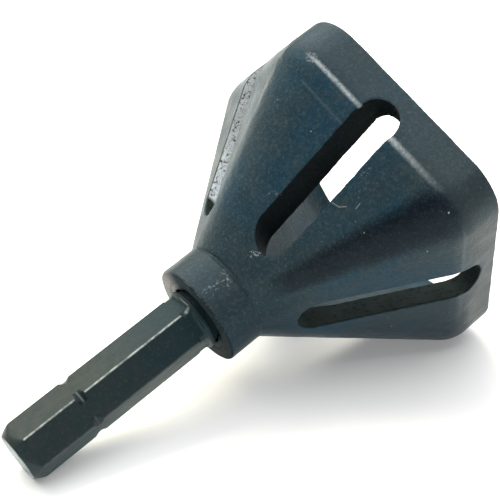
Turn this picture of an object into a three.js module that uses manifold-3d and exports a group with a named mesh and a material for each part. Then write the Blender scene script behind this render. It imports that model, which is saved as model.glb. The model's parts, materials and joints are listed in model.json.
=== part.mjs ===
// Drill-driven deburring tool: a cast five-sided cutter head on a quarter-inch hex shank.
// Modelled along +X (station 0 at the shank's free end, mouth of the head at +X), then laid
// down in its resting pose: one head face and one shank flat on the floor, +Z up. Units: mm.
import * as THREE from 'three';
import { mergeVertices } from 'three/addons/utils/BufferGeometryUtils.js';
import Module from 'manifold-3d';

const wasm = await Module();
wasm.setup();

// ---- hex shank -------------------------------------------------------------------------
const HEX_AF = 6.35;             // across flats, the standard quarter-inch drive
const HEX_END = 24.3;            // station where the hexagon stops at the shoulder
const END_FACE_R = 2.85;         // round end face left by the lead-in chamfer
const END_CHAMFER = 30;          // degrees between the lead-in cone and the axis
const NOTCH_STATION = 8.85;      // middle of the detent groove that nicks the six corners
const NOTCH_RADIUS = 0.92;       // groove profile radius
const NOTCH_FLOOR_R = 3.33;      // groove floor, just outside the flats
const RELIEF_STATION = 23.1;     // from here to the shoulder the corners are turned down
const RELIEF_R = 3.48;
const RELIEF_RAMP = 0.1;         // length of the step down to the turned corners
const SHOULDER_R = 3.8;          // turned shoulder at the shank root
const SHOULDER_FRONT = 24.9;
const SPIGOT_R = 3.4;            // round spigot fixed in the hub
const SPIGOT_RAMP = 0.3;         // length of the step from the shoulder to the spigot
const SPIGOT_EDGE = 0.4;         // chamfer on the spigot's inner end
const SPIGOT_END = 29.7;

// ---- cutter head -----------------------------------------------------------------------
const FACES = 5;
const HUB_REAR = 25.2;           // stations along the axis
const HUB_FRONT = 29.6;
const CREASE = 49.0;             // end of the sloping faces
const RIM = 54.2;                // mouth of the tool
const HUB_R = 6.25;
const HUB_EDGE = 0.35;           // chamfer on the hub's rear edge
const NECK_APOTHEM = 6.12;       // axis to face where the pyramid leaves the hub
const NECK_CORNER_R = 5.9;
const FACE_APOTHEM = 18.6;       // axis to face at the crease and the rim
const CORNER_R = 5.8;            // rounding of the five corners at the crease and the rim
const RIM_EDGE = 0.2;            // worn outer edge of the mouth
const WALL_BAND = 2.2;           // wall of the short straight band at the mouth
const WALL_CONE = 3.6;           // wall of the sloping faces, square to the face
const INNER_CORNER_R = 3.6;      // corners of the hollow at the mouth
const FLOOR_SHORT = 0.2;         // at the hollow's floor the corner radius is the apothem less this
const CAVITY_FLOOR = 31.2;
const DISH_RIM_R = 4.5;          // shallow dish in the hub's rear face
const DISH_FLOOR_R = 4.3;
const DISH_DEPTH = 1.1;
const BORE_CLEARANCE = 0.3;

// ---- slots (one per face, identical) ---------------------------------------------------
const SLOT_WIDTH = 4.5;
const SLOT_REAR = { station: 33.9, side: 4.3 };    // centres of the two round ends, given
const SLOT_FRONT = { station: 49.6, side: 0.85 };  // at the height of the mouth band
const SLOT_SLANT = 0.49;         // sideways shift per mm of depth: makes the cutting edge
const SLOT_RAKE = 0.16;          // shift toward the mouth per mm of depth
const SLOT_OVERRUN = 0.8;        // how far the slots break through the inner wall
const SLOT_SWEEP = { above: 2, below: 15 };        // reach of the slot's sweep round the band

const ARC_STEPS = 10;            // facets per rounded corner
const ROUND_STEPS = 64;          // facets of turned surfaces
const FILLET_STEPS = 5;          // facets across the fillet at the shoulder
const JOIN = 0.1;                // overlap of two shapes that are joined into one
const CLEAR = 1;                 // how far a cutting shape runs out of the solid
const HEX_R = HEX_AF / Math.sqrt(3);
const FACE_SLOPE = (FACE_APOTHEM - NECK_APOTHEM) / (CREASE - HUB_FRONT);
const WALL_INSET = WALL_CONE * Math.hypot(1, FACE_SLOPE);   // wall measured square to the axis
const rad = THREE.MathUtils.degToRad;

// ---- solid helpers ---------------------------------------------------------------------
function toSolid(geometry) {
  const bare = geometry.clone();
  bare.deleteAttribute('normal');
  bare.deleteAttribute('uv');
  const welded = mergeVertices(bare, 1e-5);
  return new wasm.Manifold(new wasm.Mesh({
    numProp: 3,
    vertProperties: new Float32Array(welded.attributes.position.array),
    triVerts: new Uint32Array(welded.index.array),
  }));
}

function toGeometry(solid) {
  const mesh = solid.getMesh();
  const geometry = new THREE.BufferGeometry();
  geometry.setAttribute('position', new THREE.BufferAttribute(mesh.vertProperties, 3));
  geometry.setIndex(new THREE.BufferAttribute(mesh.triVerts, 1));
  geometry.computeVertexNormals();
  return geometry;
}

// Solid of revolution about +X from [station, radius] pairs that start and end on the axis.
function turned(profile) {
  const points = profile.map(([station, radius]) => new THREE.Vector2(radius, station));
  return toSolid(new THREE.LatheGeometry(points, ROUND_STEPS).rotateZ(-Math.PI / 2));
}

// Unit direction across the axis; 0 points up and the angle grows toward +Y.
const across = (angle) => new THREE.Vector3(0, Math.sin(angle), Math.cos(angle));

// Ring of points round a regular polygon with rounded corners and one face downward.
function polygonRing(station, apothem, cornerR) {
  const half = Math.PI / FACES;
  const ring = [];
  for (let face = 0; face < FACES; face += 1) {
    const corner = Math.PI + half + 2 * half * face;
    const centre = across(corner).multiplyScalar((apothem - cornerR) / Math.cos(half));
    for (let i = 0; i <= ARC_STEPS; i += 1) {
      const angle = corner - half + (2 * half * i) / ARC_STEPS;
      ring.push(across(angle).multiplyScalar(cornerR).add(centre).setX(station));
    }
  }
  return ring;
}

// Closed skin through rings of equal point count, capped at both ends.
function loft(rings) {
  const count = rings[0].length;
  const points = rings.flat();
  const first = points.push(new THREE.Vector3(rings[0][0].x, 0, 0)) - 1;
  const last = points.push(new THREE.Vector3(rings.at(-1)[0].x, 0, 0)) - 1;
  const top = (rings.length - 1) * count;
  const index = [];
  for (let i = 0; i < count; i += 1) {
    const j = (i + 1) % count;
    index.push(first, i, j, last, top + j, top + i);
    for (let r = 0; r < rings.length - 1; r += 1) {
      const a = r * count;
      const b = a + count;
      index.push(a + i, b + j, a + j, a + i, b + i, b + j);
    }
  }
  const geometry = new THREE.BufferGeometry().setFromPoints(points);
  geometry.setIndex(index);
  return toSolid(geometry);
}

// ---- parts -----------------------------------------------------------------------------
function hexShank() {
  const taper = Math.tan(rad(END_CHAMFER));
  const clear = 2 * HEX_R;
  const prism = new THREE.CylinderGeometry(HEX_R, HEX_R, HEX_END, 6)
    .translate(0, HEX_END / 2, 0).rotateZ(-Math.PI / 2).rotateX(rad(30));
  const leadIn = turned([
    [0, 0], [0, END_FACE_R], [(clear - END_FACE_R) / taper, clear], [RELIEF_STATION, clear],
    [RELIEF_STATION + RELIEF_RAMP, RELIEF_R], [HEX_END, RELIEF_R], [HEX_END, 0],
  ]);
  return toSolid(prism).intersect(leadIn).subtract(notchRing()).add(shankRoot());
}

// Shoulder with a fillet that rises from the flats, and the spigot in front of it.
function shankRoot() {
  const fillet = SHOULDER_R - HEX_AF / 2 + JOIN;
  const rise = [];
  for (let i = 0; i <= FILLET_STEPS; i += 1) {
    const turn = rad((90 * i) / FILLET_STEPS);
    rise.push([HEX_END - fillet * (1 - Math.sin(turn)), SHOULDER_R - fillet * Math.cos(turn)]);
  }
  return turned([
    [HEX_END - fillet, 0], ...rise, [SHOULDER_FRONT, SHOULDER_R],
    [SHOULDER_FRONT + SPIGOT_RAMP, SPIGOT_R], [SPIGOT_END - SPIGOT_EDGE, SPIGOT_R],
    [SPIGOT_END, SPIGOT_R - SPIGOT_EDGE], [SPIGOT_END, 0],
  ]);
}

// Ring of circular section that nicks the hexagon's corners and leaves its flats whole.
function notchRing() {
  const ring = new THREE.TorusGeometry(NOTCH_FLOOR_R + NOTCH_RADIUS, NOTCH_RADIUS, 20, 96)
    .rotateY(Math.PI / 2).translate(NOTCH_STATION, 0, 0);
  return toSolid(ring);
}

function headSkin() {
  const hub = turned([
    [HUB_REAR, 0], [HUB_REAR, HUB_R - HUB_EDGE], [HUB_REAR + HUB_EDGE, HUB_R],
    [HUB_FRONT, HUB_R], [HUB_FRONT, 0],
  ]);
  const pyramid = loft([
    polygonRing(HUB_FRONT - JOIN, NECK_APOTHEM, NECK_CORNER_R),
    polygonRing(CREASE, FACE_APOTHEM, CORNER_R),
    polygonRing(RIM - RIM_EDGE, FACE_APOTHEM, CORNER_R),
    polygonRing(RIM, FACE_APOTHEM - RIM_EDGE, CORNER_R - RIM_EDGE),
  ]);
  return hub.add(pyramid);
}

// Hollow that takes the end of a bolt: a smaller pyramid opening into the straight band.
function cavity() {
  const apothem = FACE_APOTHEM - WALL_BAND;
  const bend = CREASE + (WALL_INSET - WALL_BAND) / FACE_SLOPE;
  const floorApothem = NECK_APOTHEM - WALL_INSET + (CAVITY_FLOOR - HUB_FRONT) * FACE_SLOPE;
  return loft([
    polygonRing(CAVITY_FLOOR, floorApothem, floorApothem - FLOOR_SHORT),
    polygonRing(bend, apothem, INNER_CORNER_R),
    polygonRing(RIM + CLEAR, apothem, INNER_CORNER_R),
  ]);
}

// Round-ended slot through the top face, swept from outside the wall into the hollow.
function slotCutter() {
  const run = SLOT_FRONT.station - SLOT_REAR.station;
  const drift = SLOT_FRONT.side - SLOT_REAR.side;
  const half = SLOT_WIDTH / 2;
  const outline = new THREE.Shape();
  outline.absarc(Math.hypot(run, drift), 0, half, -Math.PI / 2, Math.PI / 2, false);
  outline.absarc(0, 0, half, Math.PI / 2, 1.5 * Math.PI, false);
  const depth = SLOT_SWEEP.above + SLOT_SWEEP.below;
  const extrusion = { depth, bevelEnabled: false, curveSegments: ARC_STEPS + 4 };
  const block = new THREE.ExtrudeGeometry(outline, extrusion).rotateZ(Math.atan2(drift, run))
    .translate(SLOT_REAR.station, SLOT_REAR.side, -SLOT_SWEEP.below);
  const sweep = new THREE.Matrix4().set(
    1, 0, -SLOT_RAKE, 0,
    0, 1, SLOT_SLANT, 0,
    0, 0, 1, 0,
    0, 0, 0, 1,
  );
  const span = 2 * RIM;
  const wall = new THREE.BoxGeometry(span, span, span).translate(0, 0, span / 2)
    .rotateY(-Math.atan(FACE_SLOPE))
    .translate(HUB_FRONT, 0, NECK_APOTHEM - WALL_INSET - SLOT_OVERRUN);
  return toSolid(block.applyMatrix4(sweep).translate(0, 0, FACE_APOTHEM)).intersect(toSolid(wall));
}

// Shallow dish and blind bore in the hub that receive the shank's spigot.
function shankSeat() {
  const bore = SPIGOT_R + BORE_CLEARANCE;
  const floor = HUB_REAR + DISH_DEPTH;
  const widen = (DISH_RIM_R - DISH_FLOOR_R) / DISH_DEPTH;
  return turned([
    [HUB_REAR - CLEAR, 0], [HUB_REAR - CLEAR, DISH_RIM_R + CLEAR * widen], [floor, DISH_FLOOR_R],
    [floor, bore], [SPIGOT_END + BORE_CLEARANCE, bore], [SPIGOT_END + BORE_CLEARANCE, 0],
  ]);
}

function cutterHead() {
  let head = headSkin().subtract(cavity()).subtract(shankSeat());
  const slot = slotCutter();
  for (let face = 0; face < FACES; face += 1) {
    head = head.subtract(slot.rotate([180 + (360 / FACES) * face, 0, 0]));
  }
  return head;
}

// ---- assembly --------------------------------------------------------------------------
function part(name, solid, color, roughness) {
  const material = new THREE.MeshStandardMaterial({ color, roughness, metalness: 0.85 });
  const mesh = new THREE.Mesh(toGeometry(solid), material);
  mesh.name = name;
  return mesh;
}

// Tips the tool onto the crease line of its lower face and the chamfered end of its lower flat.
function layDown(group) {
  const flatEnd = (HEX_AF / 2 - END_FACE_R) / Math.tan(rad(END_CHAMFER));
  const tilt = Math.atan2(FACE_APOTHEM - HEX_AF / 2, CREASE - flatEnd);
  for (const mesh of group.children) mesh.geometry.rotateY(-tilt);
  const box = new THREE.Box3().setFromObject(group);
  const middle = box.getCenter(new THREE.Vector3());
  for (const mesh of group.children) {
    mesh.geometry.translate(-middle.x, -middle.y, -box.min.z);
    mesh.geometry.computeVertexNormals();
  }
  return group;
}

const tool = new THREE.Group();
tool.name = 'deburring_tool';
tool.add(part('cutter_head', cutterHead(), 0x2f3b42, 0.5));
tool.add(part('hex_shank', hexShank(), 0x3a4043, 0.42));

export default layDown(tool);
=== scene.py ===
"""Looks of the deburring tool: both pieces are meshed finely from implicit solids, with scuffed
edges, casting grain, a matte black oxide and painted light and shade, and stand in for the plain
CAD nodes."""
import json
import math

import bpy
import numpy as np
from mathutils import Matrix, Vector


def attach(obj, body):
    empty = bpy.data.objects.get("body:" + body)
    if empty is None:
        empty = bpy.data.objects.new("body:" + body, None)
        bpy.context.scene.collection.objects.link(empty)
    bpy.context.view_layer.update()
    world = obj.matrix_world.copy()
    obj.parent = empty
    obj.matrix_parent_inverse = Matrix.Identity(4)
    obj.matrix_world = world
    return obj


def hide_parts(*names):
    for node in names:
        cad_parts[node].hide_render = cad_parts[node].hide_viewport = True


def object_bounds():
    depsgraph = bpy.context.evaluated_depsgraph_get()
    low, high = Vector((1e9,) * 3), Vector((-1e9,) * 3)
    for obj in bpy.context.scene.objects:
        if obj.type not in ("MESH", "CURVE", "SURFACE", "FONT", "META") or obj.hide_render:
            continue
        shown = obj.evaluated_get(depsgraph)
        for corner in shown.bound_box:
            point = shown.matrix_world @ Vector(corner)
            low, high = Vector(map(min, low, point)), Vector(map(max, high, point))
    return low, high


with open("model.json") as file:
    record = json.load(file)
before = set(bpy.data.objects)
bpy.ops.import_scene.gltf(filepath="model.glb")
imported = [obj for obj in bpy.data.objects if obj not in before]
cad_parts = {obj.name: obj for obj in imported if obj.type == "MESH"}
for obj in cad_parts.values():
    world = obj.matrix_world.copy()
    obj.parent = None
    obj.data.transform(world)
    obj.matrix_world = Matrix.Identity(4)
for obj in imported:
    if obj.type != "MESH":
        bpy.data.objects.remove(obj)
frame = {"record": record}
CAD_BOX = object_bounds()
CENTRE = (CAD_BOX[0] + CAD_BOX[1]) / 2
MM = 0.001

# The tool's own frame, in millimetres: s is the station along the axis from the shank's end
# face, y and z lie across it, and an angle round the axis runs from z toward y.
SHANK_END = {m["name"]: m for m in frame["record"]["mounts"]}["shank_end"]
START = Vector(SHANK_END["pos_m"])
AXIS = -Vector(SHANK_END["axis"]).normalized()
SIDE = Vector((0, 1, 0))
TOOL = Matrix((AXIS, SIDE, AXIS.cross(SIDE))).transposed()


# ---- sizes, in millimetres ----------------------------------------------------------------
# The same as in the CAD model.
HUB_REAR, HUB_FRONT, CREASE, RIM = 25.2, 29.6, 49.0, 54.2
HUB_R = 6.25
NECK_APOTHEM, NECK_CORNER_R = 6.12, 5.9
FACE_APOTHEM, CORNER_R = 18.6, 5.8
WALL_BAND, WALL_CONE, INNER_CORNER_R = 2.2, 3.6, 3.6
CAVITY_FLOOR, FLOOR_SHORT = 31.2, 0.2      # at the floor the corner radius is this much short
DISH_RIM_R, DISH_FLOOR_R, DISH_DEPTH = 4.5, 4.3, 1.1
SLOT_WIDTH, SLOT_SLANT, SLOT_RAKE = 4.5, 0.49, 0.16
SLOT_REAR, SLOT_FRONT = (33.9, 4.3), (49.6, 0.85)       # centres of the slot's round ends
HEX_AF, HEX_END, END_FACE_R, END_CHAMFER = 6.35, 24.3, 2.85, math.radians(30)
NOTCH_STATION, NOTCH_RADIUS, NOTCH_FLOOR_R = 8.85, 0.92, 3.33
RELIEF_STATION, RELIEF_R = 23.1, 3.48
SHOULDER_R, SHOULDER_FRONT = 3.8, 24.9
SPIGOT_R, SPIGOT_END, BORE_GAP = 3.4, 29.7, 0.3
SLOPE = (FACE_APOTHEM - NECK_APOTHEM) / (CREASE - HUB_FRONT)
INSET = WALL_CONE * math.hypot(1, SLOPE)
SECTOR = math.radians(36)                               # half of one face's share of the circle

# Only in this model: braze fills the dish apart from one side of it, and a fine groove in front
# of the hub shows on another. Each sets in between two cosines of the angle from its middle.
OPEN_SIDE, OPEN_FADE, FILLED_DEPTH = math.radians(-50), (0.45, 0.80), 0.08
GROOVE_SIDE, GROOVE_FADE, GROOVE_R = math.radians(-20), (0.5, 0.9), 0.26
GROOVE_OUT, GROOVE_AHEAD = 0.12, 0.15                   # its centre, from the hub's front edge

# Radii of the rounded edges, fillets of the inner corners, and overlaps of joined shapes.
BAND_EDGE, RIM_EDGE, MOUTH_EDGE, SLOT_EDGE = 0.9, 0.3, 0.25, 0.22
HUB_FRONT_EDGE, HUB_REAR_EDGE, DISH_EDGE, GROOVE_EDGE = 0.12, 0.35, 0.2, 0.06
NECK_EDGE, NECK_FILLET, NECK_OVERLAP = 0.05, 0.3, 0.1
INNER_BAND_EDGE, INNER_FLOOR_EDGE = 0.8, 0.6
HEX_EDGE, LEAD_IN_EDGE, END_EDGE, CUT_EDGE = 0.13, 0.12, 0.15, 0.05
SHOULDER_FRONT_EDGE, SHOULDER_REAR_EDGE, ROOT_FILLET = 0.15, 0.25, 0.5
SPIGOT_EDGE, SPIGOT_OVERLAP = 0.3, 0.5

# Factors that bring the slanted fields near to true distances.
CONE_LEVEL, SLOT_LEVEL = 0.84, 0.92

# Places round the axis.
SHADED_CORNER_ANGLE = math.radians(-69)                       # where shade is painted along a corner of the pyramid
FRONT_FACE = math.radians(-36)                           # the face whose crease is rubbed and painted with a highlight, and whose slot walls are painted black as shade
LIT_SLOT_FACE = math.radians(36)                            # the face toward the light, whose slot wall is painted bright as lit metal
WORN_RIDGE = -math.pi / 6                               # the shank's corner that is rubbed most


# ---- implicit solids: negative inside, in millimetres -------------------------------------
PHASES = 6.28                # the waves of a ripple start anywhere in a turn
WAVE_SPREAD = (0.7, 1.4)     # and their lengths differ by these factors


def ripple(points, size, seed, waves=14):
    """Smooth random unevenness from about -1 to 1, with features of about size millimetres."""
    rng = np.random.default_rng(seed)
    total = 0
    for direction, phase in zip(rng.normal(size=(waves, 3)), rng.uniform(0, PHASES, waves)):
        k = direction / np.linalg.norm(direction) * math.pi / size * rng.uniform(*WAVE_SPREAD)
        total = total + np.sin(sum(c * p for c, p in zip(k, points)) + phase)
    return total / math.sqrt(waves)


def both(a, b, radius):
    """Intersection whose convex edge is rounded."""
    return np.minimum(np.maximum(a, b), -radius) + np.hypot(
        np.maximum(a + radius, 0), np.maximum(b + radius, 0))


def either(a, b, radius):
    """Union whose inner corner is filled."""
    return np.maximum(np.minimum(a, b), radius) - np.hypot(
        np.maximum(radius - a, 0), np.maximum(radius - b, 0))


def ramp(x, x0, x1, y0, y1):
    """Straight line that goes from y0 at x0 to y1 at x1, and on beyond them."""
    return y0 + (x - x0) * (y1 - y0) / (x1 - x0)


def fade(x, x0, x1, y0, y1):
    """The same line, level below x0 and above x1."""
    return ramp(np.clip(x, x0, x1), x0, x1, y0, y1)


def rounded_polygon(e, n, apothem, corner):
    """Distance to a regular pentagon, from the coordinates e along and n across its side."""
    over = np.maximum(np.abs(e) - (apothem - corner) * math.tan(SECTOR), 0)
    out = n - (apothem - corner)
    return np.where(over > 0, np.hypot(over, np.maximum(out, 0)), out) - corner


def folded(y, z):
    """Coordinates along and across the nearest of the five faces."""
    angle = np.arctan2(y, z) - math.pi
    angle -= 2 * SECTOR * np.round(angle / (2 * SECTOR))
    reach = np.hypot(y, z)
    return reach * np.sin(angle), reach * np.cos(angle)


LEAST_REACH = 0.1            # millimetres from the axis, so that nothing divides by zero


def toward(y, z, angle):
    """Cosine of how far round the axis each point lies from that angle."""
    across = np.maximum(np.hypot(y, z), LEAST_REACH)
    return (y * math.sin(angle) + z * math.cos(angle)) / across


def slot_field(s, e, n):
    """Distance to the slanted, round-ended slot of the nearest face."""
    x = s + SLOT_RAKE * (n - FACE_APOTHEM) - SLOT_REAR[0]
    y = e - SLOT_SLANT * (n - FACE_APOTHEM) - SLOT_REAR[1]
    run, drift = SLOT_FRONT[0] - SLOT_REAR[0], SLOT_FRONT[1] - SLOT_REAR[1]
    t = np.clip((x * run + y * drift) / (run * run + drift * drift), 0, 1)
    return SLOT_LEVEL * (np.hypot(x - t * run, y - t * drift) - SLOT_WIDTH / 2)


def cavity_field(s, e, n):
    """The head's inside: a pyramid, then a straight part behind the mouth."""
    floor = NECK_APOTHEM - INSET + (CAVITY_FLOOR - HUB_FRONT) * SLOPE
    bend = CREASE + (INSET - WALL_BAND) / SLOPE
    apothem = ramp(s, CAVITY_FLOOR, bend, floor, FACE_APOTHEM - WALL_BAND)
    corner = ramp(s, CAVITY_FLOOR, bend, floor - FLOOR_SHORT, INNER_CORNER_R)
    cone = CONE_LEVEL * rounded_polygon(e, n, apothem, corner)
    band = rounded_polygon(e, n, FACE_APOTHEM - WALL_BAND, INNER_CORNER_R)
    return both(both(cone, band, INNER_BAND_EDGE), CAVITY_FLOOR - s, INNER_FLOOR_EDGE)


def outer_cone(s, e, n):
    """The pyramid's five faces and the rounded corners between them."""
    apothem = NECK_APOTHEM + SLOPE * (s - HUB_FRONT)
    corner = ramp(s, HUB_FRONT, CREASE, NECK_CORNER_R, CORNER_R)
    return CONE_LEVEL * rounded_polygon(e, n, apothem, corner)


def outer_field(s, e, n):
    """The head's outside: pyramid, band and hub, without dish, groove, cavity or slots."""
    band = rounded_polygon(e, n, FACE_APOTHEM, CORNER_R)
    pyramid = both(both(outer_cone(s, e, n), band, BAND_EDGE), s - RIM, RIM_EDGE)
    radial = np.hypot(e, n)
    hub = both(radial - HUB_R, s - HUB_FRONT, HUB_FRONT_EDGE)
    hub = both(hub, HUB_REAR - s, HUB_REAR_EDGE)
    return either(both(pyramid, HUB_FRONT - NECK_OVERLAP - s, NECK_EDGE), hub, NECK_FILLET)


def head_field(s, y, z):
    """The whole head: its outside less dish, bore, cavity, groove and slots."""
    e, n = folded(y, z)
    radial = np.hypot(y, z)
    depth = fade(toward(y, z, OPEN_SIDE), *OPEN_FADE, FILLED_DEPTH, DISH_DEPTH)
    dish_r = ramp(s, HUB_REAR, HUB_REAR + DISH_DEPTH, DISH_RIM_R, DISH_FLOOR_R)
    dish = np.maximum(radial - dish_r, s - HUB_REAR - depth)
    bore = np.maximum(radial - SPIGOT_R - BORE_GAP, s - SPIGOT_END - BORE_GAP)
    solid = both(outer_field(s, e, n), -cavity_field(s, e, n), MOUTH_EDGE)
    solid = both(solid, -np.minimum(dish, bore), DISH_EDGE)
    groove = np.hypot(radial - HUB_R - GROOVE_OUT, s - HUB_FRONT - GROOVE_AHEAD)
    groove = groove - GROOVE_R * fade(toward(y, z, GROOVE_SIDE), *GROOVE_FADE, 0, 1)
    solid = both(solid, -groove, GROOVE_EDGE)
    return both(solid, -slot_field(s, e, n), SLOT_EDGE)


def on_face(angle, station, side):
    """Point of the head's outer skin, in the tool's own frame, on the face at that angle."""
    out = min(NECK_APOTHEM + SLOPE * (station - HUB_FRONT), FACE_APOTHEM)
    if station < HUB_FRONT:
        out = HUB_R
    c, d = math.cos(math.radians(angle)), math.sin(math.radians(angle))
    return station, out * d + side * c, out * c - side * d


def on_circle(radius, angle, station):
    """Point at that angle and distance from the axis, in the tool's own frame."""
    a = math.radians(angle)
    return station, radius * math.sin(a), radius * math.cos(a)


# A round knock on the crease of the worn face.
SCAR = on_face(-36, 48.9, 10.9)
SCAR_R, SCAR_SPREAD, SCAR_DEPTH = 0.65, 0.7, 0.09

# The casting's unevenness: height, size of its features and random seed.
SWELL, SWELL_SIZE, SWELL_SEED = 0.012, 2.6, 4
GRAIN, GRAIN_SIZE, GRAIN_SEED = 0.008, 0.75, 9
WALL_GRAIN, WALL_REACH = 0.012, 0.2                     # what the slots' walls have besides


def rough_head_field(s, y, z):
    """The head with the unevenness of its casting, strongest on the slots' walls."""
    e, n = folded(y, z)
    on_wall = np.exp(-(slot_field(s, e, n) / WALL_REACH) ** 2)
    uneven = SWELL * ripple((s, y, z), SWELL_SIZE, SWELL_SEED)
    grain = ripple((s, y, z), GRAIN_SIZE, GRAIN_SEED)
    uneven = uneven + (GRAIN + WALL_GRAIN * on_wall) * grain
    scar = np.sqrt(sum((a - b) ** 2 for a, b in zip((s, y, z), SCAR)))
    dent = SCAR_DEPTH * np.exp(-(scar / SCAR_R / SCAR_SPREAD) ** 2)
    return head_field(s, y, z) + uneven + dent


def shank_field(s, y, z):
    """The hexagon with its lead-in, notches and turned corners, the shoulder and the spigot."""
    radial = np.hypot(y, z)
    flats = [np.abs(math.cos(a) * z + math.sin(a) * y) - HEX_AF / 2 for a in
             (0, math.pi / 3, 2 * math.pi / 3)]
    prism = both(both(flats[0], flats[1], HEX_EDGE), flats[2], HEX_EDGE)
    lead_in = (radial - END_FACE_R) * math.cos(END_CHAMFER) - s * math.sin(END_CHAMFER)
    prism = both(both(prism, lead_in, LEAD_IN_EDGE), -s, END_EDGE)
    notch = np.hypot(radial - NOTCH_FLOOR_R - NOTCH_RADIUS, s - NOTCH_STATION) - NOTCH_RADIUS
    prism = both(prism, -notch, CUT_EDGE)
    prism = both(prism, -np.maximum(RELIEF_R - radial, RELIEF_STATION - s), CUT_EDGE)
    prism = np.maximum(prism, s - HEX_END)
    shoulder = both(radial - SHOULDER_R, s - SHOULDER_FRONT, SHOULDER_FRONT_EDGE)
    shoulder = both(shoulder, HEX_END - s, SHOULDER_REAR_EDGE)
    spigot = np.maximum(radial - SPIGOT_R, SHOULDER_FRONT - SPIGOT_OVERLAP - s)
    spigot = both(spigot, s - SPIGOT_END, SPIGOT_EDGE)
    return np.minimum(either(prism, shoulder, ROOT_FILLET), spigot)


# ---- meshing ------------------------------------------------------------------------------
GRADIENT_STEP = 0.02         # millimetres
LEAST_SLOPE = 0.1            # of the squared gradient, so that no move grows without bound
TINY = 1e-9                  # millimetres, so that nothing divides by zero


def surface(field, low, high, pitch):
    """Quad mesh of the zero surface of field, one vertex in each cell that it crosses."""
    axes = [np.arange(lo, hi + pitch, pitch) for lo, hi in zip(low, high)]
    grid = np.stack(np.meshgrid(*axes, indexing="ij"), -1)
    value = field(grid[..., 0], grid[..., 1], grid[..., 2])
    inside = value < 0
    shape = np.array(inside.shape) - 1
    corners = sum(inside[i:i + shape[0], j:j + shape[1], k:k + shape[2]].astype(np.int8)
                  for i in (0, 1) for j in (0, 1) for k in (0, 1))
    cells = np.argwhere((corners > 0) & (corners < 8))
    number = np.full(shape, -1, np.int64)
    number[tuple(cells.T)] = np.arange(len(cells))
    points = np.array(low) + (cells + 0.5) * pitch
    quads = []
    for axis in range(3):
        # Every grid edge that crosses the surface gets a quad of the four cells round it.
        u, v = (axis + 1) % 3, (axis + 2) % 3
        a = np.moveaxis(inside, axis, 0)
        edge = np.moveaxis(a[:-1] != a[1:], 0, axis)
        at = np.argwhere(edge)
        at = at[(at[:, u] > 0) & (at[:, v] > 0) & (at[:, u] < shape[u]) & (at[:, v] < shape[v])]
        faces_up = inside[tuple(at.T)]
        ring = []
        for du, dv in ((1, 1), (0, 1), (0, 0), (1, 0)):
            cell = at.copy()
            cell[:, u] -= du
            cell[:, v] -= dv
            ring.append(number[tuple(cell.T)])
        ring = np.stack(ring, 1)
        ring[~faces_up] = ring[~faces_up, ::-1]
        quads.append(ring)
    return points, np.concatenate(quads)


def gradient(field, p):
    """Slope of the field at each point, along the three axes."""
    grad = np.empty_like(p)
    for axis in range(3):
        d = np.zeros(3)
        d[axis] = GRADIENT_STEP
        grad[:, axis] = (field(*(p + d).T) - field(*(p - d).T)) / (2 * GRADIENT_STEP)
    return grad


def settle(field, points, pitch, rounds=5):
    """Moves each vertex onto the zero surface."""
    for _ in range(rounds):
        value = field(*points.T)
        grad = gradient(field, points)
        move = (value / np.maximum((grad * grad).sum(1), LEAST_SLOPE))[:, None] * grad
        size = np.linalg.norm(move, axis=1, keepdims=True)
        points = points - move * np.minimum(1, pitch / np.maximum(size, TINY))
    return points


def relax(points, quads, rounds):
    """Evens the mesh out: each vertex moves halfway to its neighbours' mean."""
    for _ in range(rounds):
        total = np.zeros_like(points)
        count = np.zeros(len(points))
        for a, b in ((0, 1), (1, 2), (2, 3), (3, 0)):
            for i, j in ((a, b), (b, a)):
                np.add.at(total, quads[:, i], points[quads[:, j]])
                np.add.at(count, quads[:, i], 1)
        points = 0.5 * points + 0.5 * total / count[:, None]
    return points


def thinned(points, quads, triangles):
    """Mesh of the surface with its flat stretches thinned out, down to that many triangles."""
    rough = bpy.data.meshes.new("rough")
    rough.from_pydata(points.tolist(), [], quads.tolist())
    holder = bpy.data.objects.new("rough", rough)
    bpy.context.scene.collection.objects.link(holder)
    collapse = holder.modifiers.new("collapse", "DECIMATE")
    collapse.ratio = min(1, triangles / (2 * len(quads)))
    graph = bpy.context.evaluated_depsgraph_get()
    mesh = bpy.data.meshes.new_from_object(holder.evaluated_get(graph))
    bpy.data.objects.remove(holder)
    bpy.data.meshes.remove(rough)
    return mesh


def make_piece(name, node, field, finish, box, pitch, triangles, attributes):
    """Meshes field inside box, settles it on finish and lets it stand in for the CAD node."""
    points, quads = surface(field, *box, pitch)
    points = settle(field, relax(settle(field, points, pitch), quads, rounds=2), pitch)
    mesh = thinned(points, quads, triangles)
    mesh.name = name
    points = np.empty(3 * len(mesh.vertices))
    mesh.vertices.foreach_get("co", points)
    points = settle(finish, points.reshape(-1, 3), pitch, rounds=3)
    turn = np.array(TOOL).T
    mesh.vertices.foreach_set("co", (np.array(START) + points @ turn * MM).ravel())
    mesh.polygons.foreach_set("use_smooth", [True] * len(mesh.polygons))
    mesh.normals_split_custom_set_from_vertices(gradient(finish, points) @ turn)
    mesh.update()
    for key, values in {"tool": points, **attributes(points)}.items():
        is_vector = values.ndim == 2
        layer = mesh.attributes.new(key, "FLOAT_VECTOR" if is_vector else "FLOAT", "POINT")
        layer.data.foreach_set("vector" if is_vector else "value", values.ravel())
    piece = bpy.data.objects.new(name, mesh)
    bpy.context.scene.collection.objects.link(piece)
    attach(piece, "root")
    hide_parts(node)
    return piece


# The crease is rubbed, and painted with a highlight, between these places along it, and fades
# over these lengths.
CREASE_BAND_START, CREASE_BAND_START_FADE, CREASE_BAND_END, CREASE_BAND_END_FADE = -10, 8, 12, 2


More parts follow.
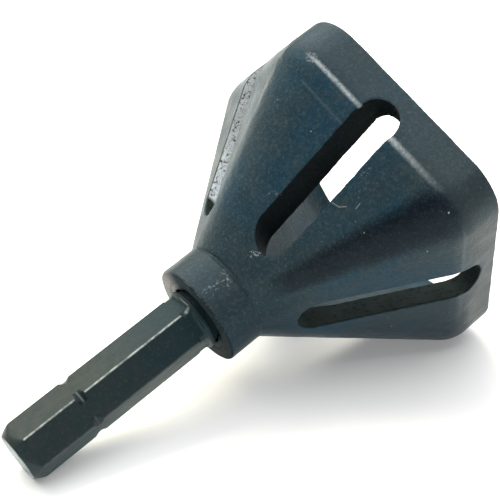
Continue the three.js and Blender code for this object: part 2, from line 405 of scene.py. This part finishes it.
def head_marks(p):
    """Where each point lies, for the material: millimetres, cosines, or from 0 to 1."""
    s = p[:, 0]
    e, n = folded(p[:, 1], p[:, 2])
    angle = np.arctan2(p[:, 1], p[:, 2])
    after_start = np.clip((e - CREASE_BAND_START) / CREASE_BAND_START_FADE, 0, 1)
    before_end = np.clip((CREASE_BAND_END - e) / CREASE_BAND_END_FADE, 0, 1)
    return {
        "slot": slot_field(s, e, n),
        "depth": -outer_field(s, e, n),
        "crease": outer_cone(s, e, n) - rounded_polygon(e, n, FACE_APOTHEM, CORNER_R),
        "side": e,
        "rubbed_and_highlight": before_end * after_start,
        "shaded_corner": np.cos(angle - SHADED_CORNER_ANGLE),
        "lit_face": np.cos(angle - LIT_SLOT_FACE),
        "front": np.cos(angle - FRONT_FACE),
    }


def shank_marks(p):
    """Distance from the axis in millimetres, and cosines of the angle round it."""
    angle = np.arctan2(p[:, 1], p[:, 2])
    return {
        "reach": np.hypot(p[:, 1], p[:, 2]),
        "worn_and_highlight": np.cos(angle - WORN_RIDGE),
        "upper": np.cos(angle),
    }


# The box that is meshed, the grid's pitch and the number of triangles that are kept.
HEAD_BOX, HEAD_PITCH, HEAD_TRIANGLES = ((24.8, -21.4, -19.2), (54.7, 21.4, 22.2)), 0.21, 190000
BAR_BOX, BAR_PITCH, BAR_TRIANGLES = ((-0.4, -4.2, -4.2), (30.1, 4.2, 4.2)), 0.11, 90000

head = make_piece("head_casting", "cutter_head", head_field, rough_head_field,
                  HEAD_BOX, HEAD_PITCH, HEAD_TRIANGLES, head_marks)
shank = make_piece("hex_bar", "hex_shank", shank_field, shank_field,
                   BAR_BOX, BAR_PITCH, BAR_TRIANGLES, shank_marks)


# ---- materials ----------------------------------------------------------------------------
# Colours are linear RGB. A step is where it starts and ends, followed by its values there when
# they aren't 0 and 1. It is taken of a station, width or depth in millimetres, of a noise, or of
# the cosine of the angle from a place round the axis.
SPECULAR_LEVEL, SPECULAR_TINT = 0.22, (0.60, 0.88, 1.0, 1)
NOISE_MIDDLE = 0.5
OFFSET_AXES = (1, 0.7, -1)              # how an offset moves a noise along the three axes
POINT_SQUARE = 1e-6                     # squared length that a line of no length is given
KEEP_SIZE, KEEP_OFFSET = 0.9, 40        # of the noise that says where squiggles are kept


class Nodes:
    """Short calls for building one material's node tree."""

    def __init__(self, name):
        self.material = bpy.data.materials.new(name)
        self.material.use_nodes = True
        self.tree = self.material.node_tree
        self.tree.nodes.clear()
        self.bsdf = self.add("ShaderNodeBsdfPrincipled")
        out = self.add("ShaderNodeOutputMaterial")
        self.tree.links.new(self.bsdf.outputs[0], out.inputs["Surface"])

    def add(self, kind, **settings):
        node = self.tree.nodes.new(kind)
        for key, value in settings.items():
            setattr(node, key, value)
        return node

    def put(self, socket, value):
        """Links the socket when value is another node's output, else sets it."""
        if hasattr(value, "is_linked"):
            self.tree.links.new(value, socket)
        else:
            socket.default_value = value

    def shader(self, **sockets):
        """Sets or links the shader's sockets, such as Base_Color."""
        for key, value in sockets.items():
            self.put(self.bsdf.inputs[key.replace("_", " ")], value)

    def mask(self, name, vector=False):
        """The mesh's own attribute of that name."""
        node = self.add("ShaderNodeAttribute", attribute_name=name)
        return node.outputs["Vector" if vector else "Fac"]

    def math(self, operation, a, b=0.0, clamp=False):
        node = self.add("ShaderNodeMath", operation=operation, use_clamp=clamp)
        self.put(node.inputs[0], a)
        self.put(node.inputs[1], b)
        return node.outputs[0]

    def times(self, a, b, clamp=False):
        return self.math("MULTIPLY", a, b, clamp)

    def larger(self, a, b):
        return self.math("MAXIMUM", a, b)

    def gap(self, a, b):
        """How far apart two values are."""
        return self.math("ABSOLUTE", self.math("SUBTRACT", a, b))

    def vector_math(self, operation, a, b=(0, 0, 0), second=1, out="Vector"):
        node = self.add("ShaderNodeVectorMath", operation=operation)
        self.put(node.inputs[0], a)
        self.put(node.inputs[second], b)
        return node.outputs[out]

    def noise(self, size, detail=2.0, roughness=0.5, offset=0.0, stretch=(1, 1, 1)):
        """Noise from 0 to 1 whose features are about size millimetres wide."""
        mapping = self.add("ShaderNodeMapping")
        self.put(mapping.inputs["Vector"], self.mask("tool", vector=True))
        mapping.inputs["Location"].default_value = [k * offset for k in OFFSET_AXES]
        mapping.inputs["Scale"].default_value = [k / size for k in stretch]
        node = self.add("ShaderNodeTexNoise")
        self.put(node.inputs["Vector"], mapping.outputs[0])
        node.inputs["Scale"].default_value = 1.0
        node.inputs["Detail"].default_value = detail
        node.inputs["Roughness"].default_value = roughness
        return node.outputs["Fac"]

    def step(self, value, low, high, out_low=0.0, out_high=1.0):
        """Smooth step of value between low and high."""
        node = self.add("ShaderNodeMapRange", interpolation_type="SMOOTHSTEP")
        self.put(node.inputs["Value"], value)
        numbers = {"From Min": low, "From Max": high, "To Min": out_low, "To Max": out_high}
        for key, number in numbers.items():
            node.inputs[key].default_value = number
        return node.outputs["Result"]

    def mix(self, factor, a, b):
        """Colour a where factor is 0 and b where it is 1."""
        node = self.add("ShaderNodeMix", data_type="RGBA")
        self.put(node.inputs["Factor"], factor)
        for socket, value in ((node.inputs[6], a), (node.inputs[7], b)):
            self.put(socket, value if hasattr(value, "is_linked") else (*value, 1.0))
        return node.outputs[2]

    def station(self):
        """How far along the tool's axis the point lies, in millimetres."""
        node = self.add("ShaderNodeSeparateXYZ")
        self.put(node.inputs[0], self.mask("tool", vector=True))
        return node.outputs["X"]

    def near(self, start, end):
        """Distance in millimetres to the line between two points of the tool's own frame."""
        run = Vector(end) - Vector(start)
        square = max(run.length_squared, POINT_SQUARE)
        rel = self.vector_math("SUBTRACT", self.mask("tool", vector=True), start)
        dot = self.vector_math("DOT_PRODUCT", rel, run, out="Value")
        along = self.math("DIVIDE", dot, square, clamp=True)
        foot = self.vector_math("SCALE", run, along, second="Scale")
        gap = self.vector_math("SUBTRACT", rel, foot)
        return self.vector_math("LENGTH", gap, out="Value")

    def bump(self, height, distance, under=None):
        """Relief of that height in millimetres, on top of another bump's normal."""
        node = self.add("ShaderNodeBump")
        node.inputs["Strength"].default_value = 1.0
        node.inputs["Distance"].default_value = distance * MM
        self.put(node.inputs["Height"], height)
        if under is not None:
            self.put(node.inputs["Normal"], under)
        return node.outputs[0]

    def squiggles(self, size, width, offset, area):
        """Sparse short curved lines: thin level lines of a noise, kept where area allows."""
        off_level = self.gap(self.noise(size, detail=1.0, offset=offset), NOISE_MIDDLE)
        keep = self.noise(size * KEEP_SIZE, detail=2.0, offset=offset + KEEP_OFFSET)
        return self.times(self.step(off_level, width, 0.0), self.step(keep, *area))


# Pale marks of handling on the head, and a painted highlight along the hub's rear edge: the angle
# round the axis in degrees, the two ends as (station, side), width, strength, and whether the
# speckle breaks the mark up.
SCUFFS_AND_HIGHLIGHTS = (
    (-36, (46.8, 11.0), (46.7, 2.9), 0.22, 0.055, False),
    (-36, (41.2, -2.2), (41.4, -3.1), 0.07, 0.45, False),
    (-36, (41.4, -3.1), (41.9, -3.6), 0.07, 0.45, False),
    (-36, (42.4, -4.5), (43.0, -4.4), 0.08, 0.4, False),
    (-36, (32.4, 0.1), (32.9, -0.5), 0.45, 1.0, True),
    (-36, (37.6, 3.2), (38.4, 2.3), 0.35, 0.7, True),
    (-36, (43.6, -3.6), (45.4, -2.2), 0.9, 0.14, True),
    (-108, (33.4, -1.0), (34.7, -1.9), 0.40, 0.8, True),
    (-37, (26.4, 0.1), (28.6, -0.2), 0.9, 0.4, True),
    (-34, (29.0, -0.5), (29.2, 0.6), 0.4, 0.55, True),
    # Painted highlight, not wear: these three lines along the hub's rear edge.
    (5, (25.25, -1.0), (25.25, 1.0), 0.15, 0.35, False),
    (-13, (25.25, -1.0), (25.25, 1.0), 0.17, 0.5, False),
    (-31, (25.25, -1.0), (25.25, 1.0), 0.15, 0.45, False),
)
SCUFF_CORE = 0.3                                        # share of the width at full strength
SCUFF_SPECKLE, SCAR_SPECKLE = (0.52, 0.64), (0.42, 0.56)
SCAR_RING = (0.22, 0.05, 0, 0.38)                       # pale ring round the knock


def scuffs_and_highlights(m, speckle):
    """How strongly the marks of handling and the painted edge highlight show, from 0 to 1."""
    total = 0.0
    for angle, start, end, width, strength, speckled in SCUFFS_AND_HIGHLIGHTS:
        gap = m.near(on_face(angle, *start), on_face(angle, *end))
        mark = m.step(gap, width, SCUFF_CORE * width, 0, strength)
        if speckled:
            mark = m.times(mark, m.step(speckle, *SCUFF_SPECKLE))
        total = m.larger(mark, total)
    ring = m.step(m.gap(m.near(SCAR, SCAR), SCAR_R), *SCAR_RING)
    return m.larger(m.times(ring, m.step(speckle, *SCAR_SPECKLE)), total)


# The head's oxide: broad blue and grey patches with smaller clouds.
OXIDE_BLUE, OXIDE_GREY, PATCHES = (0.009, 0.034, 0.056), (0.017, 0.032, 0.041), (0.36, 0.62)
CLOUDED, CLOUDS = (0.028, 0.042, 0.048), (0.42, 0.75, 0, 0.5)
SKIN_DEPTH = (0.35, 0.15)
# Shade is painted as darker colour along one corner of the pyramid, and under the neck.
CORNER_PAINTED_SHADE, DARK_CORNER, DARK_WOBBLE = (0.001, 0.002, 0.006), (0.982, 0.998), 0.006
CONE_REAR, CONE_FRONT = (30.0, 34.0), (51.5, 47.0, 0.25, 1.0)
NECK_PAINTED_SHADE, NECK_END, UNDER_SIDE = (0.002, 0.016, 0.026), (35.0, 31.0), (-0.1, -0.5, 0, 0.7)
# It is paler on the upper side of the hub and on the band.
PALE_OXIDE, HUB_END, PALE_SIDE = (0.034, 0.040, 0.044), (30.6, 29.2), (-0.3, 0.3, 0, 0.5)
BAND_OXIDE, BAND_START = (0.037, 0.046, 0.051), (48.8, 49.6, 0, 0.55)
# The hub's rear face is turned. It is painted dark as shade, and pale at the upper left as
# painted light, where light falls.
REAR_PAINTED_SHADE, REAR_PAINTED_LIGHT = (0.006, 0.012, 0.015), (0.36, 0.35, 0.35)
REAR_FACE, REAR_LEFT, REAR_TOP = (25.5, 25.3), (0.3, -0.6), (0.1, 0.5)
# Pale specks, fewer on the dark corner and underneath.
DUST_COLOUR, DUST = (0.056, 0.080, 0.087), (0.45, 0.72, 0, 0.8)
DUST_UNDER, DUST_OFF_DARK = (-0.9, -0.2, 0.35, 1.0), 0.75


def oxide(m, station, skin, cloud, speckle, turned):
    """Colour of the head's unworn skin, with painted shade along one corner and under the neck,
    and the hub's rear face painted dark as shade and bright at its upper left as painted light.
    """
    shaded_corner, toward_lit_face = m.mask("shaded_corner"), m.mask("lit_face")
    broad = m.noise(size=9.0, detail=2.0, offset=3)
    colour = m.mix(m.step(broad, *PATCHES), OXIDE_BLUE, OXIDE_GREY)
    colour = m.mix(m.step(cloud, *CLOUDS), colour, CLOUDED)
    # Painted shade: darker colour along one corner of the pyramid.
    wobble = m.times(m.math("SUBTRACT", cloud, NOISE_MIDDLE), DARK_WOBBLE)
    dark = m.step(m.math("ADD", shaded_corner, wobble), *DARK_CORNER)
    on_cone = m.times(m.step(station, *CONE_REAR), m.step(station, *CONE_FRONT))
    dark = m.times(dark, m.times(skin, on_cone))
    colour = m.mix(dark, colour, CORNER_PAINTED_SHADE)
    pale = m.times(m.step(station, *HUB_END), m.step(toward_lit_face, *PALE_SIDE))
    colour = m.mix(pale, colour, PALE_OXIDE)
    # Painted shade: darker colour under the neck, on the side away from the light.
    under = m.times(m.step(station, *NECK_END), m.step(toward_lit_face, *UNDER_SIDE))
    colour = m.mix(under, colour, NECK_PAINTED_SHADE)
    colour = m.mix(m.times(skin, m.step(station, *BAND_START)), colour, BAND_OXIDE)
    # Painted shade over the rear face, and painted light at its upper left.
    rear_painted_light = m.times(m.step(shaded_corner, *REAR_LEFT), m.step(toward_lit_face, *REAR_TOP))
    colour = m.mix(turned, colour, m.mix(rear_painted_light, REAR_PAINTED_SHADE, REAR_PAINTED_LIGHT))
    off_dark = m.math("SUBTRACT", 1.0, m.times(dark, DUST_OFF_DARK))
    dust = m.times(m.times(m.step(speckle, *DUST), off_dark), m.step(toward_lit_face, *DUST_UNDER))
    return m.mix(dust, colour, DUST_COLOUR)


# Where the head's oxide is rubbed through along the crease, at the scuffs and in small chips, and
# where highlights are painted: on the crease and along the hub's rear edge.
RUBBED_AND_HIGHLIGHT_COLOUR = (0.42, 0.46, 0.48)
CREASE_WIDTH, CREASE_SIDE = (0.24, 0.0), (-1.0, 1.0, 0.75, 1.0)
CREASE_FACE, CREASE_SPECKLE = (0.81, 0.86, 0.1, 0.85), (0.38, 0.58, 0.50, 1.0)
CHIPS, CHIP_STRENGTH = (0.80, 0.82), 0.7


def rubbed_and_highlight(m, skin, speckle):
    """Where the head shines through its oxide, and where highlights are painted on it, from 0 to
    1.
    """
    # The crease band is partly rubbed and partly a painted highlight: its smooth part is the
    # painted highlight, its speckle the rubbing.
    off_crease = m.math("ABSOLUTE", m.mask("crease"))
    off_crease = m.times(off_crease, m.step(m.mask("side"), *CREASE_SIDE))
    edge = m.times(m.step(off_crease, *CREASE_WIDTH), m.mask("rubbed_and_highlight"))
    edge = m.times(edge, m.step(m.mask("front"), *CREASE_FACE))
    worn_and_highlight = m.times(edge, m.step(speckle, *CREASE_SPECKLE))
    worn_and_highlight = m.larger(worn_and_highlight, scuffs_and_highlights(m, speckle))
    chips = m.times(m.step(m.noise(size=0.45, detail=1.0, offset=7), *CHIPS), CHIP_STRENGTH)
    return m.times(m.larger(worn_and_highlight, chips), skin, clamp=True)


# The slots' walls: dark and pitted; the front face's walls are painted black as shade, and the
# wall toward the light is painted bright as lit metal.
NEAR_SLOT, WALL_DEPTH = (0.3, 0.15), (0.03, 0.14)
PIT_COLOUR, PITS, PIT_STRENGTH = (0.004, 0.005, 0.006), (0.57, 0.64), 0.85
LIT_WALL_SIDE, LIT_WALL_START = (0.80, 0.84), (35.4, 36.0)
LIT_WALL_REAR, LIT_WALL_FRONT, LIT_WALL_RUN = (0.74, 0.78, 0.80), (0.50, 0.52, 0.52), (37.0, 46.0)
CRUST_COLOUR, CRUST = (0.20, 0.21, 0.23), (0.48, 0.66, 0, 0.5)
WORM_COLOUR, WORM_SIZE, WORM_WIDTH, WORMS = (0.03, 0.035, 0.045), 0.8, 0.035, (0.45, 0.52)
WALL_OXIDE, WALL_PAINTED_SHADE, WALL_FACE = (0.012, 0.017, 0.016), (0.001, 0.002, 0.003), (0.8, 0.9)


def lit_wall_colour(m, station):
    """Colour of the slot wall toward the light, painted bright as lit metal, with crust and
    squiggles.
    """
    colour = m.mix(m.step(station, *LIT_WALL_RUN), LIT_WALL_REAR, LIT_WALL_FRONT)
    crust = m.step(m.noise(size=0.22, detail=3.0, roughness=0.7, offset=29), *CRUST)
    colour = m.mix(crust, colour, CRUST_COLOUR)
    worms = m.squiggles(WORM_SIZE, WORM_WIDTH, offset=60, area=WORMS)
    return m.mix(worms, colour, WORM_COLOUR)


# The casting's roughness, what the walls and the rear face have more, its metal and relief.
CAST_ROUGHNESS, WALL_ROUGHNESS = (0.3, 0.7, 0.34, 0.44), 0.45
RUBBED_AND_HIGHLIGHT_METAL, LIT_WALL_METAL = 0.6, 0.85
CAST_RELIEF, SPECKLE_RELIEF, PIT_RELIEF = 0.05, 0.07, 0.10


def head_material():
    """Oxide over the casting with painted shade and light, the slots' walls in it with painted
    shade and one wall painted bright, and on top what shines through the oxide, with painted
    highlights.
    """
    m = Nodes("black_oxide_casting")
    station, depth = m.station(), m.mask("depth")
    cloud = m.noise(size=2.6, detail=3.0, offset=11)
    grain = m.noise(size=0.42, detail=3.0, roughness=0.62, offset=5)
    fine = m.noise(size=0.2, detail=2.0, roughness=0.6, offset=23)
    speckle = m.math("ADD", m.times(grain, 0.5), m.times(fine, 0.5))
    skin = m.step(depth, *SKIN_DEPTH)
    turned = m.step(station, *REAR_FACE)
    bright = rubbed_and_highlight(m, skin, speckle)

    wall = m.step(m.math("ABSOLUTE", m.mask("slot")), *NEAR_SLOT)
    wall = m.times(wall, m.step(depth, *WALL_DEPTH))
    # Painted light: the slot wall toward the light is painted bright, as lit metal.
    lit_face = m.times(m.step(m.mask("lit_face"), *LIT_WALL_SIDE), m.step(station, *LIT_WALL_START))
    lit_face = m.times(lit_face, wall)
    pits = m.step(m.noise(size=0.55, detail=3.0, roughness=0.7, offset=17), *PITS)
    # Painted shade: the front face's slot walls are painted black.
    wall_colour = m.mix(m.step(m.mask("front"), *WALL_FACE), WALL_OXIDE, WALL_PAINTED_SHADE)
    wall_colour = m.mix(lit_face, wall_colour, lit_wall_colour(m, station))
    wall_colour = m.mix(m.times(pits, PIT_STRENGTH), wall_colour, PIT_COLOUR)

    colour = m.mix(wall, oxide(m, station, skin, cloud, speckle, turned), wall_colour)
    roughness = m.step(cloud, *CAST_ROUGHNESS)
    rougher = m.times(m.larger(wall, turned), WALL_ROUGHNESS)
    relief = m.bump(m.noise(size=1.6, detail=2.0, offset=2), CAST_RELIEF)
    relief = m.bump(speckle, SPECKLE_RELIEF, relief)
    relief = m.bump(m.times(pits, m.times(wall, -1.0)), PIT_RELIEF, relief)
    m.shader(Base_Color=m.mix(bright, colour, RUBBED_AND_HIGHLIGHT_COLOUR),
             Roughness=m.math("ADD", roughness, rougher),
             Metallic=m.larger(m.times(bright, RUBBED_AND_HIGHLIGHT_METAL), m.times(lit_face, LIT_WALL_METAL)),
             Specular_IOR_Level=SPECULAR_LEVEL, Specular_Tint=SPECULAR_TINT, Normal=relief)
    return m.material


# The shank's oxide: olive on the upper flat, teal below, and bluer toward the shoulder, where it
# is darker as painted shade from the head.
BAR_DARK, BAR_GREY, BAR_CLOUDS = (0.017, 0.028, 0.030), (0.024, 0.030, 0.032), (0.35, 0.65)
OLIVE, UPPER_FLAT = (0.042, 0.046, 0.036), (0.86, 0.90)
OLIVE_BLOTCH, OLIVE_START = (0.30, 0.65, 0.45, 1.0), (1.0, 1.4, 0.3, 1.0)
TEAL, LOWER_FLATS = (0.018, 0.046, 0.048), (-0.3, -0.5)
BAR_SHOULDER_SHADE, BAR_SHOULDER_SHADE_RUN = (0.008, 0.022, 0.029), (10.0, 23.0, 0, 0.7)
BAR_DUST_COLOUR, BAR_DUST = (0.06, 0.07, 0.068), (0.5, 0.85, 0, 0.5)

# Its notches are painted dark as shade, with a pale line along the middle.
NOTCH_WIDTH, NOTCH_LINE, NOTCH_REACH = (0.65, 0.45), (0.16, 0.05), (3.30, 3.34)
NOTCH_SIDE = (0.5, 0.9, 0.15, 0.75)
NOTCH_PAINTED_SHADE, NOTCH_PALE = (0.003, 0.005, 0.006), (0.11, 0.12, 0.12)

# Its corners and its end face are rubbed through; the bright spot and line at the root of its
# shoulder are a painted highlight.
WORN_AND_HIGHLIGHT_COLOUR, WORN_AND_HIGHLIGHT_METAL = (0.48, 0.51, 0.49), 0.6
CORNER_REACH, CORNER_END = (3.575, 3.635), (24.0, 23.6)
MOST_WORN, LEAST_WEAR, WEAR_PATCHES = (0.95, 0.99), (0.0, 1.0, 0.12, 1.0), (0.36, 0.60, 0.35, 1.0)
CUT_END, CUT_END_WEAR = (0.10, 0.04), (0.35, 0.6, 0.2, 0.6)
ROOT_HIGHLIGHT = on_circle(3.62, -30, 23.75), on_circle(3.75, -27, 24.05)
COLLAR_HIGHLIGHT = on_circle(3.78, 0, 24.35), on_circle(3.78, -24, 24.35)
ROOT_HIGHLIGHT_FADE, COLLAR_HIGHLIGHT_FADE = (0.36, 0.05, 0, 0.6), (0.10, 0.03, 0, 0.35)

# Its roughness follows fine lines along the bar.
BAR_ROUGHNESS = (0.3, 0.7, 0.34, 0.46)
DRAWN_RELIEF, BLOTCH_RELIEF, GRAIN_RELIEF = 0.012, 0.02, 0.025


def bar_skin_with_shade(m, station, blotch, grain):
    """Colour of the shank's unworn skin, with painted shade toward the shoulder."""
    upper = m.mask("upper")
    clouds = m.step(m.noise(size=3.0, detail=3.0, offset=13), *BAR_CLOUDS)
    colour = m.mix(clouds, BAR_DARK, BAR_GREY)
    olive = m.times(m.step(blotch, *OLIVE_BLOTCH), m.step(station, *OLIVE_START))
    colour = m.mix(m.times(m.step(upper, *UPPER_FLAT), olive), colour, OLIVE)
    colour = m.mix(m.step(upper, *LOWER_FLATS), colour, TEAL)
    # Painted shade: darker and bluer toward the shoulder, next to the head.
    colour = m.mix(m.step(station, *BAR_SHOULDER_SHADE_RUN), colour, BAR_SHOULDER_SHADE)
    return m.mix(m.step(grain, *BAR_DUST), colour, BAR_DUST_COLOUR)


def bar_wear_and_highlight(m, station, reach, blotch):
    """Where the shank shines through its oxide, and where a highlight is painted at the root of
    its shoulder, from 0 to 1.
    """
    ridge = m.times(m.step(reach, *CORNER_REACH), m.step(station, *CORNER_END))
    most = m.step(m.mask("worn_and_highlight"), *MOST_WORN)
    patchy = m.step(m.noise(size=0.9, detail=3.0, roughness=0.6, offset=27), *WEAR_PATCHES)
    ridge = m.times(ridge, m.times(patchy, m.step(most, *LEAST_WEAR)))
    cut_end = m.times(m.step(station, *CUT_END), m.step(blotch, *CUT_END_WEAR))
    # Painted highlight: a bright spot and a line where the hex meets the shoulder.
    root = m.step(m.near(*ROOT_HIGHLIGHT), *ROOT_HIGHLIGHT_FADE)
    collar_highlight = m.step(m.near(*COLLAR_HIGHLIGHT), *COLLAR_HIGHLIGHT_FADE)
    return m.larger(m.larger(ridge, cut_end), m.larger(root, collar_highlight))


def shank_material():
    """Oxide over the bar with painted shade toward the shoulder, its notches painted dark as
    shade, and on top what shines through the oxide, with a painted highlight at the shoulder's
    root.
    """
    m = Nodes("black_oxide_bar")
    station, reach = m.station(), m.mask("reach")
    blotch = m.noise(size=1.1, detail=3.0, roughness=0.6, offset=31)
    grain = m.noise(size=0.35, detail=3.0, roughness=0.6, offset=9)
    lines = m.noise(size=0.25, detail=2.0, roughness=0.5, offset=19, stretch=(0.08, 1, 1))
    across = m.gap(station, NOTCH_STATION)
    # Painted shade in the notch cuts.
    notch = m.times(m.step(across, *NOTCH_WIDTH), m.step(reach, *NOTCH_REACH))
    notch = m.times(notch, m.step(m.mask("worn_and_highlight"), *NOTCH_SIDE))
    notch_colour = m.mix(m.step(across, *NOTCH_LINE), NOTCH_PAINTED_SHADE, NOTCH_PALE)
    colour = m.mix(notch, bar_skin_with_shade(m, station, blotch, grain), notch_colour)
    worn_and_highlight = bar_wear_and_highlight(m, station, reach, blotch)
    relief = m.bump(lines, DRAWN_RELIEF)
    relief = m.bump(blotch, BLOTCH_RELIEF, relief)
    relief = m.bump(grain, GRAIN_RELIEF, relief)
    m.shader(Base_Color=m.mix(worn_and_highlight, colour, WORN_AND_HIGHLIGHT_COLOUR),
             Roughness=m.step(lines, *BAR_ROUGHNESS), Metallic=m.times(worn_and_highlight, WORN_AND_HIGHLIGHT_METAL),
             Specular_IOR_Level=SPECULAR_LEVEL, Specular_Tint=SPECULAR_TINT, Normal=relief)
    return m.material


head.data.materials.append(head_material())
shank.data.materials.append(shank_material())


# ---- floor, light and camera: metres, watts and degrees -----------------------------------
FLOOR_HALF, FLOOR_GREY, FLOOR_ROUGHNESS = 2.5, (0.86, 0.86, 0.86, 1), 0.9
FLOOR_GLOW_COLOUR, FLOOR_GLOW = (1, 1, 1, 1), 0.2
WORLD_COLOUR, WORLD_STRENGTH = (0.98, 0.98, 0.97, 1), 0.26
CAMERA_AZIMUTH, CAMERA_ELEVATION, CAMERA_ROLL = -34.69, 30.49, -3.70
CAMERA_DISTANCE, CAMERA_LENS, CAMERA_SENSOR, CLIP_START = 0.13786, 89.24, 36.0, 0.01
CAMERA_AIM = CENTRE + Vector((1.953, -2.741, -1.878)) * MM


def make_floor():
    mesh = bpy.data.meshes.new("floor")
    r = FLOOR_HALF
    mesh.from_pydata([(-r, -r, 0), (r, -r, 0), (r, r, 0), (-r, r, 0)], [], [(0, 1, 2, 3)])
    floor = bpy.data.objects.new("floor", mesh)
    bpy.context.scene.collection.objects.link(floor)
    m = Nodes("pale_floor")
    m.shader(Base_Color=FLOOR_GREY, Roughness=FLOOR_ROUGHNESS, Specular_IOR_Level=0.0,
             Emission_Color=FLOOR_GLOW_COLOUR, Emission_Strength=FLOOR_GLOW)
    mesh.materials.append(m.material)


def make_light(name, location, aim, size, power, colour=(1, 1, 1), mirrored=True):
    """Rectangular lamp aimed at a point; one that isn't mirrored makes no highlight."""
    data = bpy.data.lights.new(name, "AREA")
    data.shape = "RECTANGLE"
    data.size, data.size_y = size
    data.energy = power
    data.color = colour
    lamp = bpy.data.objects.new(name, data)
    lamp.location = location
    lamp.visible_glossy = mirrored
    lamp.rotation_euler = (Vector(aim) - Vector(location)).to_track_quat("-Z", "Y").to_euler()
    bpy.context.scene.collection.objects.link(lamp)


def make_world():
    world = bpy.data.worlds.new("studio")
    world.use_nodes = True
    background = world.node_tree.nodes["Background"]
    background.inputs["Color"].default_value = WORLD_COLOUR
    background.inputs["Strength"].default_value = WORLD_STRENGTH
    bpy.context.scene.world = world


def make_camera():
    """Camera at the photograph's viewing angle."""
    azimuth, elevation = math.radians(CAMERA_AZIMUTH), math.radians(CAMERA_ELEVATION)
    back = Vector((math.sin(azimuth) * math.cos(elevation),
                   -math.cos(azimuth) * math.cos(elevation), math.sin(elevation)))
    data = bpy.data.cameras.new("camera")
    data.sensor_width, data.lens, data.clip_start = CAMERA_SENSOR, CAMERA_LENS, CLIP_START
    camera = bpy.data.objects.new("camera", data)
    camera.matrix_world = (Matrix.Translation(CAMERA_AIM + back * CAMERA_DISTANCE)
                           @ (-back).to_track_quat("-Z", "Y").to_matrix().to_4x4()
                           @ Matrix.Rotation(math.radians(CAMERA_ROLL), 4, "Z"))
    bpy.context.scene.collection.objects.link(camera)
    bpy.context.scene.camera = camera


make_floor()
make_world()
make_light("overhead", location=(0.08, 0.18, 0.60), aim=CENTRE, size=(1.4, 1.4), power=12.0)
# Lights the floor behind the tool, which the left face mirrors as its bright strip.
make_light("rear", location=(0.05, 0.32, 0.40), aim=(0.03, 0.16, 0), size=(0.5, 0.3), power=3.3,
           colour=(1.0, 0.94, 0.70), mirrored=False)
make_camera()
bpy.context.scene.view_settings.view_transform = "Standard"
